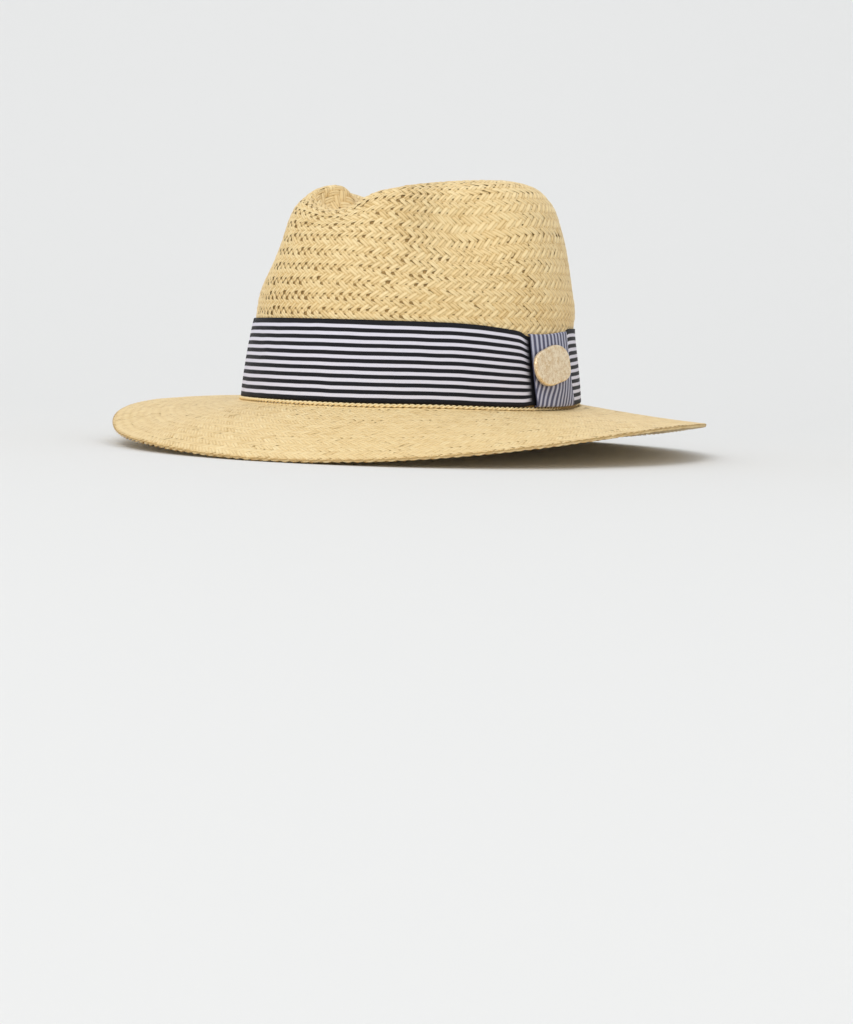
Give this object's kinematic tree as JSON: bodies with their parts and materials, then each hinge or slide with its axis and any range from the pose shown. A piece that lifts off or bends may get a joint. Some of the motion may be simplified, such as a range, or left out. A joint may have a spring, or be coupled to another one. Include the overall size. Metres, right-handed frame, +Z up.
{
  "type": "straw fedora hat",
  "caption": "Woven straw fedora with a teardrop crown, a snapped brim, a striped ribbon band and a ribbon loop that carries a bare oval metal badge.",
  "frame": {"origin": "on the surface that the hat rests on, below the middle of its box", "axes": "+Z up, -Y to the front of the hat, +X to the wearer's left, where the loop and badge are"},
  "size_m": [0.3048, 0.3248, 0.1404],
  "materials": {
    "straw": "natural straw, 2/2 twill weave, matt",
    "plaited_straw": "pale twisted straw, matt",
    "band_ribbon": "ribbon with narrow black and white stripes along it",
    "loop_ribbon": "the same ribbon with its stripes upright",
    "badge_metal": "pale gold metal, satin, bare face"
  },
  "bodies": {
    "root": {"crown": "straw", "brim": "straw", "foot_cord": "plaited_straw", "hat_band": "band_ribbon", "band_loop": "loop_ribbon", "badge": "badge_metal"}
  },
  "joints": []
}
